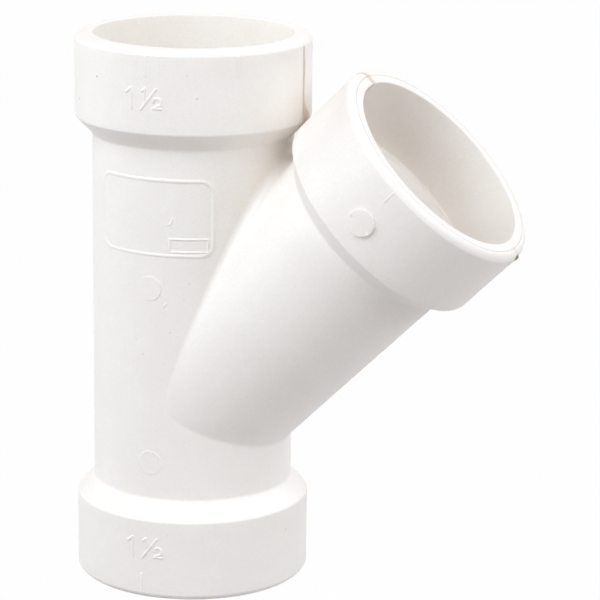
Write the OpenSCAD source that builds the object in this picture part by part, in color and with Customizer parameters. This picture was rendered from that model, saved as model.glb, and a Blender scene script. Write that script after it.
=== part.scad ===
// A 45 degree wye for 1 1/2 inch drain pipe, moulded in one piece.
// The straight run stands on its lower rim: the origin is the centre of that rim, +Z runs up the
// run, the branch leans towards +X, and the two halves of the mould meet in the plane y = 0.
// All lengths are in millimetres and all angles in degrees.

/* [Run] */
// Length of the straight run, from rim to rim
run_length = 135; // [125:1:170]
// Bore of the run between its two sockets
run_waterway_d = 40.9; // [38:0.1:43]
// Wall of the run between its two sockets
run_wall = 4; // [3:0.05:5]
// Height above the lower rim at which the two centre lines cross
crossing_height = 45.2; // [44:0.1:54]

/* [Branch] */
// Angle between the branch and the upper part of the run
branch_angle = 45; // [45:1:60]
// Length of the branch, from the crossing to its rim
branch_length = 89.8; // [86:0.1:110]
// Bore of the branch between the run and its socket
branch_waterway_d = 40.6; // [38:0.1:43]
// Wall of the branch between the run and its socket
branch_wall = 3.85; // [3:0.05:5]

/* [Sockets] */
// Bore that the pipe slides into
socket_d = 48.4; // [48.3:0.01:48.6]
// Wall of each socket
socket_wall = 4.4; // [3.5:0.1:5.5]
// Length of each socket at its full outside diameter
hub_length = 20; // [17:0.5:26]
// Length of the sloping shoulder behind each socket
shoulder_length = 4.3; // [3:0.1:6]
// Depth of the bore that the pipe slides into, down to the ledge that stops it
socket_depth = 17.5; // [15:0.5:22]
// Bevel that leads from the ledge into the waterway
ledge_bevel = 1.5; // [0:0.1:2.5]
// Radius on the outer edge of each rim
rim_rounding = 2.1; // [0.5:0.1:2.5]

/* [Raised marks] */
// Height of the numerals, ticks and frame above the wall
mark_height = 0.35; // [0.2:0.05:0.6]
// Height of the size numerals, from foot to top
numeral_height = 5.5; // [3:0.5:7]
// Width of the numerals' strokes
numeral_stroke = 0.5; // [0.4:0.05:0.8]
// From the upper rim to the middle of its numerals
upper_numeral_drop = 11.7; // [8:0.1:14]
// From the lower rim to the middle of its numerals
lower_numeral_rise = 13; // [10:0.1:15]
// Width of the ticks at the rims
tick_width = 0.7; // [0.4:0.1:1.2]
// Length of the ticks on the two sockets of the run
tick_length = 4.7; // [3:0.1:6]
// Length of the tick on the branch's socket
branch_tick_length = 2.9; // [2:0.1:5]
// Angle round the run from the front to the upper tick
upper_tick_angle = 1.6; // [-5:0.1:5]
// Angle round the run from the front to the side tick
side_tick_angle = 45.6; // [30:0.1:60]
// Angle round the run from the front to the lower tick
lower_tick_angle = -1; // [-5:0.1:5]
// Angle round the branch from the front to its tick and its disc
branch_mark_angle = 1; // [-5:0.1:5]

/* [Frame on the run] */
// Width of the raised frame, outside
frame_width = 29.2; // [20:0.1:34]
// Height of the raised frame, outside
frame_height = 18.8; // [12:0.1:24]
// Radius of the frame's outer corners
frame_corner = 3; // [1:0.1:5]
// Width of the frame's bead
frame_bead = 0.7; // [0.4:0.05:1.2]
// From the upper shoulder down to the frame
frame_drop = 7; // [3:0.1:12]
// Width of the small empty box in the frame's corner
box_width = 8.8; // [5:0.1:12]
// Height of that box
box_height = 3.5; // [2:0.1:6]
// Width of that box's bead
box_bead = 0.4; // [0.3:0.05:0.8]
// Clear space between that box and the frame
box_margin = 0.45; // [0.3:0.05:2]

/* [Ejector marks] */
// Diameter of the two marks on the run
pin_mark_d = 6; // [4:0.1:8]
// Diameter of the disc on the branch's socket
disc_d = 6.5; // [4:0.1:8]
// How far that disc stands proud
disc_height = 0.6; // [0.2:0.05:0.8]
// How far the two marks on the run stand proud
pin_mark_height = 0.12; // [0.05:0.01:0.3]
// From the branch's rim to the middle of its disc
disc_drop = 12.6; // [8:0.1:15]
// From the lower shoulder up to the middle of the lower mark
lower_mark_rise = 9.1; // [5:0.1:12]
// From the frame down to the middle of the upper mark
upper_mark_drop = 8; // [5:0.1:14]

/* [Hidden] */
$fn = 96;

// Extra length that carries a cut clear of the face it starts from
overcut = 1;
run_body_d = run_waterway_d + 2 * run_wall;
branch_body_d = branch_waterway_d + 2 * branch_wall;
hub_d = socket_d + 2 * socket_wall;
frame_top = run_length - hub_length - shoulder_length - frame_drop;
frame_middle = frame_top - frame_height / 2;
upper_mark_at = frame_top - frame_height - upper_mark_drop;
lower_mark_at = hub_length + shoulder_length + lower_mark_rise;

// Carries its children from the crossing onto the branch, with the branch's centre line as Z
module on_branch() {
    translate([0, 0, crossing_height])
        rotate([0, branch_angle, 0])
            children();
}

// Turns its children over, so that what stands on a rim at z = 0 hangs from a rim at this height
module hung_from(height) {
    translate([0, 0, height])
        mirror([0, 0, 1])
            children();
}

// The outside of one socket, standing on its rim, with the shoulder down to the tube behind it
module hub(body_d) {
    rotate_extrude() {
        translate([0, rim_rounding])
            square([hub_d / 2, hub_length - rim_rounding]);
        square([hub_d / 2 - rim_rounding, hub_length]);
        intersection() {
            translate([hub_d / 2 - rim_rounding, rim_rounding])
                circle(r = rim_rounding);
            square([hub_d / 2, hub_length]);
        }
        polygon([
            [0, hub_length],
            [hub_d / 2, hub_length],
            [body_d / 2, hub_length + shoulder_length],
            [0, hub_length + shoulder_length]
        ]);
    }
}

// The outside of the straight run
module run_form() {
    hub(run_body_d);
    hung_from(run_length)
        hub(run_body_d);
    translate([0, 0, hub_length])
        cylinder(d = run_body_d, h = run_length - 2 * hub_length);
}

// The outside of the branch, with a ball where it starts, so that no flat end shows at the run
module branch_form() {
    on_branch() {
        sphere(d = branch_body_d);
        cylinder(d = branch_body_d, h = branch_length - hub_length);
        hung_from(branch_length)
            hub(branch_body_d);
    }
}

// The bore of one socket, up from a rim at z = 0, with the bevel from its ledge to the waterway
module socket_bore(waterway_d) {
    translate([0, 0, -overcut])
        cylinder(d = socket_d, h = socket_depth + overcut);
    translate([0, 0, socket_depth - overcut])
        cylinder(
            d1 = waterway_d + 2 * (ledge_bevel + overcut),
            d2 = waterway_d - 2 * overcut,
            h = ledge_bevel + 2 * overcut
        );
}

// Everything that the pipes and the water take up
module hollow() {
    translate([0, 0, -overcut])
        cylinder(d = run_waterway_d, h = run_length + 2 * overcut);
    socket_bore(run_waterway_d);
    hung_from(run_length)
        socket_bore(run_waterway_d);
    on_branch() {
        sphere(d = branch_waterway_d);
        cylinder(d = branch_waterway_d, h = branch_length + overcut);
        hung_from(branch_length)
            socket_bore(branch_waterway_d);
    }
}

// Stands a flat drawing proud of the front of a round wall; the drawing's Y is the wall's Z
module proud(wall_d, height) {
    intersection() {
        rotate([90, 0, 0])
            linear_extrude(wall_d)
                children();
        cylinder(d = wall_d + 2 * height, h = run_length);
    }
}

// One tick, from the end of the rim's rounding inwards, drawn for a rim at y = 0
module tick(length) {
    translate([-tick_width / 2, rim_rounding])
        square([tick_width, length]);
}

// A figure one with its foot at the origin
module figure_one(height) {
    flag = height * 0.25;
    drop = height * 0.2;
    translate([-numeral_stroke / 2, 0])
        square([numeral_stroke, height]);
    polygon([
        [numeral_stroke / 2, height],
        [-numeral_stroke / 2, height],
        [-numeral_stroke / 2 - flag, height - drop],
        [-numeral_stroke / 2 - flag, height - drop - numeral_stroke],
        [numeral_stroke / 2, height - numeral_stroke]
    ]);
}

// A figure two with the middle of its foot at the origin
module figure_two(height) {
    bowl = height * 0.41;
    inner = bowl - numeral_stroke;
    turn = -45;
    far = 2 * bowl;
    foot = bowl - height;
    // The slope's upper end is sunk into the bowl, and its lower end into the foot
    sunk = numeral_stroke * 0.2;
    translate([0, -foot]) {
        intersection() {
            difference() {
                circle(r = bowl);
                circle(r = inner);
            }
            polygon([[0, 0], [far * cos(turn), far * sin(turn)], [far, far], [-far, far], [-far, 0]]);
        }
        polygon([
            [-bowl, foot + sunk],
            [-bowl + numeral_stroke * 1.5, foot + sunk],
            [(bowl - sunk) * cos(turn * 0.8), (bowl - sunk) * sin(turn * 0.8)],
            [(inner + sunk) * cos(turn * 0.4), (inner + sunk) * sin(turn * 0.4)]
        ]);
        translate([-bowl, foot])
            square([2 * bowl, numeral_stroke]);
    }
}

// The size, one and a half, with the middle of the line at the origin
module size_numerals() {
    small = numeral_height * 0.53;
    slash_foot = -numeral_height * 0.08 - numeral_stroke / 2;
    slash_top = numeral_height * 0.62 - numeral_stroke / 2;
    translate([0, -numeral_height / 2]) {
        translate([-numeral_height * 0.53, 0])
            figure_one(numeral_height);
        translate([numeral_height * 0.12, numeral_height - small])
            figure_one(small);
        polygon([
            [slash_foot, 0],
            [slash_foot + numeral_stroke, 0],
            [slash_top + numeral_stroke, numeral_height],
            [slash_top, numeral_height]
        ]);
        translate([numeral_height * 0.67, numeral_height * 0.08])
            figure_two(small);
    }
}

// A rectangle with round corners, centred on the origin
module round_rectangle(width, height, corner) {
    square([width - 2 * corner, height], center = true);
    square([width, height - 2 * corner], center = true);
    for (x = [-1, 1], y = [-1, 1])
        translate([x * (width / 2 - corner), y * (height / 2 - corner)])
            circle(r = corner);
}

// The frame and the small empty box inside its lower corner, centred on the origin
module frame_drawing() {
    difference() {
        round_rectangle(frame_width, frame_height, frame_corner);
        round_rectangle(frame_width - 2 * frame_bead, frame_height - 2 * frame_bead, frame_corner - frame_bead);
    }
    clear = frame_bead + box_margin;
    translate([frame_width / 2 - clear - box_width / 2, clear + box_height / 2 - frame_height / 2])
        difference() {
            square([box_width, box_height], center = true);
            square([box_width - 2 * box_bead, box_height - 2 * box_bead], center = true);
        }
}

// The raised marks on the two sockets of the run
module hub_marks() {
    proud(hub_d, mark_height) {
        translate([0, lower_numeral_rise])
            size_numerals();
        translate([0, run_length - upper_numeral_drop])
            size_numerals();
    }
    rotate([0, 0, lower_tick_angle])
        proud(hub_d, mark_height)
            tick(tick_length);
    for (angle = [upper_tick_angle, side_tick_angle])
        rotate([0, 0, angle])
            hung_from(run_length)
                proud(hub_d, mark_height)
                    tick(tick_length);
}

// The frame and the two ejector marks on the tube of the run
module body_marks() {
    proud(run_body_d, mark_height)
        translate([0, frame_middle])
            frame_drawing();
    for (height = [lower_mark_at, upper_mark_at])
        proud(run_body_d, pin_mark_height)
            translate([0, height])
                circle(d = pin_mark_d);
}

// The tick and the ejector disc on the branch's socket
module branch_marks() {
    on_branch()
        rotate([0, 0, branch_mark_angle]) {
            hung_from(branch_length)
                proud(hub_d, mark_height)
                    tick(branch_tick_length);
            translate([0, 0, branch_length - disc_drop])
                rotate([90, 0, 0])
                    cylinder(d = disc_d, h = hub_d / 2 + disc_height);
        }
}

// The whole fitting: one moulding
module wye_fitting() {
    color("whitesmoke")
        difference() {
            union() {
                run_form();
                branch_form();
                hub_marks();
                body_marks();
                branch_marks();
            }
            hollow();
        }
}

wye_fitting();
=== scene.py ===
"""Looks of a white drain wye, moulded in one piece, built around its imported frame.

The mesh is drawn on charts. A chart is a flat map of one tube: the angle round the tube runs
across it, and the way along the tube's section, up the outside and down the bore, runs up it. Each
chart is filled with triangles, finer round the raised marks, and is then rolled up into its tube.
A narrow strip that rounds the valley joins the chart of the run to the chart of the branch.
Sizes are in millimetres until the mesh is made, and angles are in radians unless a name says so.
"""
import logging
import math
from dataclasses import dataclass, field
from enum import Enum
from typing import ClassVar, Protocol, Sequence

import bpy
import numpy as np
from mathutils import Matrix, Vector
from mathutils.geometry import delaunay_2d_cdt


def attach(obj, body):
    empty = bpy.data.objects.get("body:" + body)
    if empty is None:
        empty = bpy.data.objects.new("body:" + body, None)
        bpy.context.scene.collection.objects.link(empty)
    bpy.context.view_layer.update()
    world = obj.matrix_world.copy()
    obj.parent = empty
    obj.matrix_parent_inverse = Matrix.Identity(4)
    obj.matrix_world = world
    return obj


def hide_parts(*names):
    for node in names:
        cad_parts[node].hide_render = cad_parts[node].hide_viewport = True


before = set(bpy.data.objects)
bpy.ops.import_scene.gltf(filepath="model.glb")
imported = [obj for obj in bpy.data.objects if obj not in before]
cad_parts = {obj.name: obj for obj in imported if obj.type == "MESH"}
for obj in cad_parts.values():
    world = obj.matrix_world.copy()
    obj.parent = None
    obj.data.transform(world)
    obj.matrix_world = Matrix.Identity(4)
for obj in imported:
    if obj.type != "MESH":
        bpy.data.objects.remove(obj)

log = logging.getLogger("wye")
Array = np.ndarray
Line = tuple[Array, Array]
MM = 0.001
FULL_TURN = 2 * math.pi
# Charts are cut open at the back, so that their middle is the front of the tube
CUT = math.pi / 2


class Side(Enum):
    """The side of a wall that a valley or edge between two tubes lies on."""

    OUTSIDE = -1
    BORE = 1


class Ray(Enum):
    """The kinds of ray that see the backdrop as plain white."""

    CAMERA = "Is Camera Ray"
    GLOSSY = "Is Glossy Ray"
    TRANSMISSION = "Is Transmission Ray"


def smooth(t: Array) -> Array:
    """Eases from 0 to 1 as t goes from 0 to 1, with level ends."""
    t = np.clip(t, 0.0, 1.0)
    return t * t * (3.0 - 2.0 * t)


def bump(t: Array) -> Array:
    """A soft hill, 1 where t is 0 and nearly nothing beyond 2."""
    return np.exp(-t * t)


# The section of a tube


@dataclass(frozen=True)
class Corner:
    """A corner of a section: its distance from the tube's axis, its height and its rounding."""

    r: float
    z: float
    rounding: float = 0.0


@dataclass
class Section:
    """The line that a wall follows in the half plane beside a tube's axis.

    It runs with the plastic on its left: up the outside, in over the rim and down the bore.
    """

    corners: Sequence[Corner]
    arc_steps: int = 5
    ways: Array = field(init=False)
    points: Array = field(init=False)
    headings: Array = field(init=False)
    bends: Array = field(init=False)

    def __post_init__(self) -> None:
        """Turns the corners into straight and round stretches."""
        ways, points, headings, bends = [0.0], [], [], []
        here = np.array([self.corners[0].r, self.corners[0].z])
        for i in range(1, len(self.corners)):
            corner = self.corners[i]
            at = np.array([corner.r, corner.z])
            heading = math.atan2(*(at - here)[::-1])
            cut, turn = 0.0, 0.0
            if i + 1 < len(self.corners):
                then = np.array([self.corners[i + 1].r, self.corners[i + 1].z]) - at
                turn = math.remainder(math.atan2(then[1], then[0]) - heading, FULL_TURN)
                cut = corner.rounding * math.tan(abs(turn) / 2)
            straight = float(np.linalg.norm(at - here)) - cut
            points.append(here)
            headings.append(heading)
            bends.append(0.0)
            ways.append(ways[-1] + straight)
            here = here + straight * np.array([math.cos(heading), math.sin(heading)])
            if cut > 0:
                points.append(here)
                headings.append(heading)
                bends.append(math.copysign(1 / corner.rounding, turn))
                ways.append(ways[-1] + abs(turn) * corner.rounding)
                after = heading + turn
                here = at + cut * np.array([math.cos(after), math.sin(after)])
        self.ways = np.array(ways)
        self.points = np.array(points)
        self.headings = np.array(headings)
        self.bends = np.array(bends)

    @property
    def length(self) -> float:
        """Length of the whole line."""
        return float(self.ways[-1])

    def at(self, way: Array) -> tuple[Array, Array, Array]:
        """Finds the points at some distances along the line.

        Args:
            way: Distances from the start of the line.

        Returns:
            Distance from the axis, height, and heading, one each for every distance.
        """
        k = np.clip(np.searchsorted(self.ways, way, side="right") - 1, 0, len(self.bends) - 1)
        gone = way - self.ways[k]
        start, bend = self.headings[k], self.bends[k]
        heading = start + bend * gone
        safe = np.where(bend == 0, 1.0, bend)
        r_arc = (np.sin(heading) - np.sin(start)) / safe
        z_arc = (np.cos(start) - np.cos(heading)) / safe
        r = self.points[k, 0] + np.where(bend == 0, np.cos(start) * gone, r_arc)
        z = self.points[k, 1] + np.where(bend == 0, np.sin(start) * gone, z_arc)
        return r, z, heading

    def rows(self, gap: float) -> Array:
        """Cuts the line into rows.

        Args:
            gap: Widest step on a straight stretch.

        Returns:
            Distances along the line, with both ends and more rows on the roundings.
        """
        out = []
        for k, bend in enumerate(self.bends):
            length = self.ways[k + 1] - self.ways[k]
            steps = self.arc_steps if bend else max(1, math.ceil(length / gap))
            out.append(np.linspace(self.ways[k], self.ways[k + 1], steps, endpoint=False))
        out.append(self.ways[-1:])
        return np.concatenate(out)

    def way_up(self, height: Array) -> Array:
        """Distances along the line at which its outside reaches some heights."""
        rows = self.rows(1.0)
        _, z, _ = self.at(rows)
        top = int(np.argmax(z)) + 1
        return np.interp(height, z[:top], rows[:top])


# Raised marks


class Mark(Protocol):
    """Anything that stands proud of the outside of a tube."""

    def height(self, angle: Array, r: Array, z: Array) -> Array:
        """How far the mark stands out at some points of the wall."""

    def dots(self, section: Section) -> tuple[Array, Array]:
        """Angles and ways of the points that the mesh needs to show the mark."""

    def claims(self, angle: Array, r: Array, z: Array) -> Array:
        """True for the points of the wall that the mark's own points take the place of."""


def segment_distance(x: Array, z: Array, lines: Array) -> Array:
    """Distance to the nearest of some straight lines.

    Args:
        x: First coordinates of the points.
        z: Second coordinates of the points.
        lines: One row for each line, with x and z of its start and of its end.

    Returns:
        One distance for each point.
    """
    best = np.full(np.shape(x), np.inf)
    for x0, z0, x1, z1 in lines:
        dx, dz = x1 - x0, z1 - z0
        t = np.clip(((x - x0) * dx + (z - z0) * dz) / max(dx * dx + dz * dz, 1e-12), 0, 1)
        best = np.minimum(best, np.hypot(x - x0 - t * dx, z - z0 - t * dz))
    return best


def box_distance(x: Array, z: Array, wide: float, high: float, corner: float = 0.0) -> Array:
    """Signed distance to a rectangle round the origin, with round corners."""
    qx = np.abs(x) - wide / 2 + corner
    qz = np.abs(z) - high / 2 + corner
    outside = np.hypot(np.maximum(qx, 0), np.maximum(qz, 0))
    return outside + np.minimum(np.maximum(qx, qz), 0) - corner


@dataclass
class Drawing:
    """A flat drawing, cut into the mould and so raised on the front of a tube.

    Its x runs round the front of the tube and its z along the tube's axis.
    """

    proud: float
    flank: float = 0.13
    turn: float = 0.0
    shift: float = 0.0
    step: float = 0.13

    def distance(self, x: Array, z: Array) -> Array:
        """Signed distance to the drawing's outline, less than nothing inside it."""
        raise NotImplementedError

    def frame(self) -> tuple[float, float, float, float]:
        """The drawing's lowest x, highest x, lowest z and highest z."""
        raise NotImplementedError

    def _local(self, angle: Array, r: Array, z: Array) -> tuple[Array, Array]:
        """The drawing's own coordinates of points on the wall, far away for those behind."""
        front = np.sin(angle - self.turn) < 0
        x = np.where(front, r * np.cos(angle - self.turn) - self.shift, 1e3)
        return x, z

    def height(self, angle: Array, r: Array, z: Array) -> Array:
        """How far the drawing stands out at some points of the wall."""
        x, z = self._local(angle, r, z)
        x0, x1, z0, z1 = self.frame()
        near = (x > x0 - 1) & (x < x1 + 1) & (z > z0 - 1) & (z < z1 + 1)
        out = np.zeros(np.shape(x))
        out[near] = self._rise(x[near], z[near])
        return out

    def _rise(self, x: Array, z: Array) -> Array:
        """Height at points of the drawing, with a round foot and a round edge."""
        return self.proud * smooth(0.5 - self.distance(x, z) / (2 * self.flank))

    def claims(self, angle: Array, r: Array, z: Array) -> Array:
        """True close to the drawing's outline."""
        x, z = self._local(angle, r, z)
        x0, x1, z0, z1 = self.frame()
        near = (x > x0 - 1) & (x < x1 + 1) & (z > z0 - 1) & (z < z1 + 1)
        out = np.zeros(np.shape(x), bool)
        out[near] = np.abs(self.distance(x[near], z[near])) < self.flank + 3 * self.step
        return out

    def dots(self, section: Section) -> tuple[Array, Array]:
        """A fine grid of points, kept only close to the drawing's outline."""
        x0, x1, z0, z1 = self.frame()
        reach = self.flank + 2 * self.step
        x, z = np.meshgrid(np.arange(x0 - reach, x1 + reach, self.step),
                           np.arange(z0 - reach, z1 + reach, self.step))
        x, z = x.ravel(), z.ravel()
        keep = np.abs(self.distance(x, z)) < reach
        way = section.way_up(z[keep])
        r, _, _ = section.at(way)
        angle = self.turn - np.arccos(np.clip((x[keep] + self.shift) / r, -1, 1))
        return angle, way


@dataclass
class Strokes(Drawing):
    """Lines of one width, such as those that a graver cuts."""

    stroke: float = 0.4
    path: Sequence[tuple[float, float]] = ()

    def lines(self) -> Array:
        """The middle lines of all strokes, one row each, with x and z of both ends."""
        return np.array([(*a, *b) for a, b in zip(self.path, self.path[1:])])

    def distance(self, x: Array, z: Array) -> Array:
        """Signed distance to the edges of the strokes."""
        return segment_distance(x, z, self.lines()) - self.stroke / 2

    def frame(self) -> tuple[float, float, float, float]:
        """Limits of the strokes."""
        lines, half = self.lines(), self.stroke / 2
        return (float(lines[:, ::2].min()) - half, float(lines[:, ::2].max()) + half,
                float(lines[:, 1::2].min()) - half, float(lines[:, 1::2].max()) + half)


@dataclass
class SizeFigures(Strokes):
    """The nominal size, one and a half, with the middle of the line at its centre."""

    centre: float = 0.0
    tall: float = 5.5
    small_share: float = 0.53

    def lines(self) -> Array:
        """The middle lines of all strokes of the figures."""
        half = self.stroke / 2
        foot, top = self.centre - self.tall / 2, self.centre + self.tall / 2
        small = self.tall * self.small_share
        lines: list[tuple[float, float, float, float]] = []
        for x, height in ((-0.53 * self.tall, self.tall), (0.12 * self.tall, small)):
            low, flag, drop = top - height, height * 0.25, height * 0.2
            lines.append((x, low + half, x, top - half))
            lines.append((x, top - half, x - flag, top - half - drop))
        lines.append((-0.08 * self.tall, foot + half, 0.62 * self.tall, top - half))
        bowl, x, base = small * 0.41, 0.67 * self.tall, foot + 0.08 * self.tall
        centre_z, radius = base + small - bowl, bowl - half
        arc = [(x + radius * math.cos(a), centre_z + radius * math.sin(a))
               for a in np.linspace(math.pi, -math.pi / 5, 12)]
        path = arc + [(x - radius, base + half), (x + radius, base + half)]
        lines += [(*a, *b) for a, b in zip(path, path[1:])]
        return np.array(lines)


@dataclass
class Tick(Drawing):
    """A short upright line at a rim."""

    low: float = 0.0
    high: float = 1.0
    wide: float = 0.7

    def distance(self, x: Array, z: Array) -> Array:
        """Signed distance to the tick's outline."""
        return box_distance(x, z - (self.low + self.high) / 2, self.wide, self.high - self.low, 0.1)

    def frame(self) -> tuple[float, float, float, float]:
        """Limits of the tick."""
        return -self.wide / 2, self.wide / 2, self.low, self.high


@dataclass
class BeadRectangle(Drawing):
    """A narrow bead that runs round a rectangle."""

    centre_x: float = 0.0
    centre_z: float = 0.0
    wide: float = 10.0
    high: float = 5.0
    corner: float = 0.5
    bead: float = 0.5
    left_share: float = 1.0

    def distance(self, x: Array, z: Array) -> Array:
        """Signed distance to the edges of the bead."""
        line = box_distance(x - self.centre_x, z - self.centre_z, self.wide - self.bead,
                            self.high - self.bead, max(self.corner - self.bead / 2, 0.0))
        return np.abs(line) - self.bead / 2

    def frame(self) -> tuple[float, float, float, float]:
        """Limits of the bead."""
        return (self.centre_x - self.wide / 2, self.centre_x + self.wide / 2,
                self.centre_z - self.high / 2, self.centre_z + self.high / 2)

    def _rise(self, x: Array, z: Array) -> Array:
        """Height of the bead, which is lower towards its left side."""
        across = smooth(0.5 + 1.5 * (x - self.centre_x) / self.wide)
        return super()._rise(x, z) * (self.left_share + (1 - self.left_share) * across)


@dataclass
class EjectorDisc(Drawing):
    """The round mark of an ejector pin, with a slight lip round its edge."""

    centre: float = 0.0
    wide: float = 6.0
    lip: float = 0.0
    lip_width: float = 0.45
    lean: float = 0.0

    def distance(self, x: Array, z: Array) -> Array:
        """Signed distance to the disc's edge."""
        return np.hypot(x, z - self.centre) - self.wide / 2

    def frame(self) -> tuple[float, float, float, float]:
        """Limits of the disc."""
        half = self.wide / 2
        return -half, half, self.centre - half, self.centre + half

    def _rise(self, x: Array, z: Array) -> Array:
        """Height of the disc, with the lip round its edge, and leaning where the pin leaned."""
        inside = smooth(0.5 - (self.distance(x, z) + self.lip_width) / (2 * self.flank))
        leaning = 1 + self.lean * np.clip(2 * x / self.wide, -1, 1)
        return (super()._rise(x, z) - self.lip * inside) * leaning


@dataclass
class Flash:
    """The fine ridge that the joint of the mould leaves along one side of a tube.

    Behind it the wall lies a hair lower, over some distance round the tube. The waves and the
    sinks run up the tube at even steps: each makes the ridge higher or the wall lower there.
    """

    angle: float
    low: float
    high: float
    ridge: float
    step: float = 0.0
    reach: float = 8.0
    wide: float = 0.2
    over_rim: float = 0.0
    waves: tuple[float, ...] = (0.0,)
    sinks: tuple[float, ...] = (0.0,)
    fade: ClassVar[float] = 1.2

    def _across(self, angle: Array, r: Array) -> Array:
        """Distance past the joint, towards the back."""
        away = np.arctan2(np.sin(angle - self.angle), np.cos(angle - self.angle))
        return r * away * math.copysign(1.0, math.cos(self.angle))

    def _uneven(self, z: Array, values: Sequence[float]) -> Array:
        """1 plus the value that the ridge or the wall has at some heights."""
        t = (z - self.low) / (self.high - self.low)
        return 1 + np.interp(t, np.linspace(0, 1, len(values)), values)

    def height(self, angle: Array, r: Array, z: Array) -> Array:
        """Height of the ridge, and of the lower wall behind it."""
        across = self._across(angle, r)
        left = smooth((z - self.low) / self.fade) * smooth((self.high - z) / self.fade)
        hill = self.ridge * bump(across / self.wide) * self._uneven(z, self.waves)
        back = smooth(across / (2 * self.wide)) * smooth(1.5 - across / self.reach)
        return (hill - self.step * back * self._uneven(z, self.sinks)) * left

    def dots(self, section: Section) -> tuple[Array, Array]:
        """Close rows of points on both sides of the joint."""
        low, high = section.way_up(np.array([self.low, self.high]))
        rows = section.rows(0.8)
        rows = rows[(rows > low) & (rows < high + self.over_rim)]
        r, _, _ = section.at(rows)
        across = np.concatenate([np.linspace(-3, 3, 13), [4.2, 5.6]]) * self.wide
        angle = self.angle + across[None, :] / r[:, None]
        return angle.ravel(), np.repeat(rows, len(across))

    def claims(self, angle: Array, r: Array, z: Array) -> Array:
        """True close to the joint."""
        near = np.abs(self._across(angle, r)) < 7 * self.wide
        return near & (z > self.low) & (z <= self.high)


@dataclass
class Nub:
    """A small lump that the trimming of the flash left behind."""

    angle: float
    z: float
    proud: float
    across: float = 0.45
    along: float = 0.6

    def height(self, angle: Array, r: Array, z: Array) -> Array:
        """Height of the lump."""
        away = np.arctan2(np.sin(angle - self.angle), np.cos(angle - self.angle))
        return self.proud * bump(r * away / self.across) * bump((z - self.z) / self.along)

    def dots(self, section: Section) -> tuple[Array, Array]:
        """No points of its own: it lies on the flash, whose points show it."""
        return np.zeros(0), np.zeros(0)

    def claims(self, angle: Array, r: Array, z: Array) -> Array:
        """Nothing of its own."""
        return np.zeros(np.shape(z), bool)


@dataclass
class RimLine:
    """The fine groove on a rim where the rounding of its outer edge starts."""

    r: float
    rim: float
    deep: float = 0.06
    wide: float = 0.12
    columns: ClassVar[int] = 300
    band: ClassVar[float] = 0.3

    def height(self, angle: Array, r: Array, z: Array) -> Array:
        """Depth of the groove, less than nothing, on the rim alone."""
        return -self.deep * bump((r - self.r) / self.wide) * (z > self.rim - self.band)

    def dots(self, section: Section) -> tuple[Array, Array]:
        """Close rings of points on both sides of the groove."""
        rows = section.rows(0.05)
        r, z, _ = section.at(rows)
        top = z > self.rim - self.band
        across = np.linspace(-2, 2, 7) * self.wide
        ways = np.interp(-(self.r + across), -r[top], rows[top])
        angles = CUT - FULL_TURN + FULL_TURN * (np.arange(self.columns) + 0.5) / self.columns
        angle, way = np.meshgrid(angles, ways)
        return angle.ravel(), way.ravel()

    def claims(self, angle: Array, r: Array, z: Array) -> Array:
        """True close to the groove."""
        return (np.abs(r - self.r) < 3 * self.wide) & (z > self.rim - self.band)


# The valley between two tubes


@dataclass(frozen=True)
class Valley:
    """The rounding between an upright tube and a tube that leaves it at an angle.

    A ball of the rounding's radius rolls along both tubes. The same rounding fits a valley
    between two outsides and an edge between two bores.
    """

    run_r: float
    branch_r: float
    rounding: float
    crossing: float
    slope: float
    side: Side
    count: int = 256
    steps: int = 6

    def angles(self) -> Array:
        """Angles round the branch, from one cut at the back to the next."""
        return CUT - FULL_TURN + FULL_TURN * np.arange(self.count + 1) / self.count

    def _ball(self) -> tuple[Array, Array, Array, Array]:
        """Centres of the ball, as x, y and z, and their way along the branch."""
        angle = self.angles()
        n = (self.branch_r + self.rounding) * np.cos(angle)
        y = (self.branch_r + self.rounding) * np.sin(angle)
        x = np.sqrt((self.run_r + self.rounding) ** 2 - y * y)
        up = (x * math.cos(self.slope) - n) / math.sin(self.slope)
        along = x * math.sin(self.slope) + up * math.cos(self.slope)
        return x, y, up + self.crossing, along

    def on_run(self) -> tuple[Array, Array]:
        """Angle round the run and height of each point where the ball touches the run."""
        x, y, z, _ = self._ball()
        return np.arctan2(y, x), z

    def on_branch(self) -> Array:
        """Distance up the branch of each point where the ball touches the branch."""
        return self._ball()[3]

    def strip(self) -> tuple[Array, Array]:
        """The rounding, from the run to the branch.

        Returns:
            Points and outward directions, each with one row for every step between the two
            tubes, both ends left out, and one column for every angle.
        """
        x, y, z, along = self._ball()
        ball = np.stack([x, y, z], -1)
        out = np.stack([x, y, np.zeros_like(x)], -1) / (self.run_r + self.rounding)
        axis = np.array([math.sin(self.slope), 0, math.cos(self.slope)])
        foot = np.array([0, 0, self.crossing]) + along[:, None] * axis
        off = (ball - foot) / (self.branch_r + self.rounding)
        between = np.arccos(np.clip(np.sum(out * off, -1), -1, 1))[:, None]
        points, normals = [], []
        for t in np.arange(1, self.steps) / self.steps:
            toward = (np.sin((1 - t) * between) * out + np.sin(t * between) * off) / np.sin(between)
            points.append(ball - self.rounding * toward)
            normals.append(-self.side.value * toward)
        return np.array(points), np.array(normals)


# Charts and the mesh that they make


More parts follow.
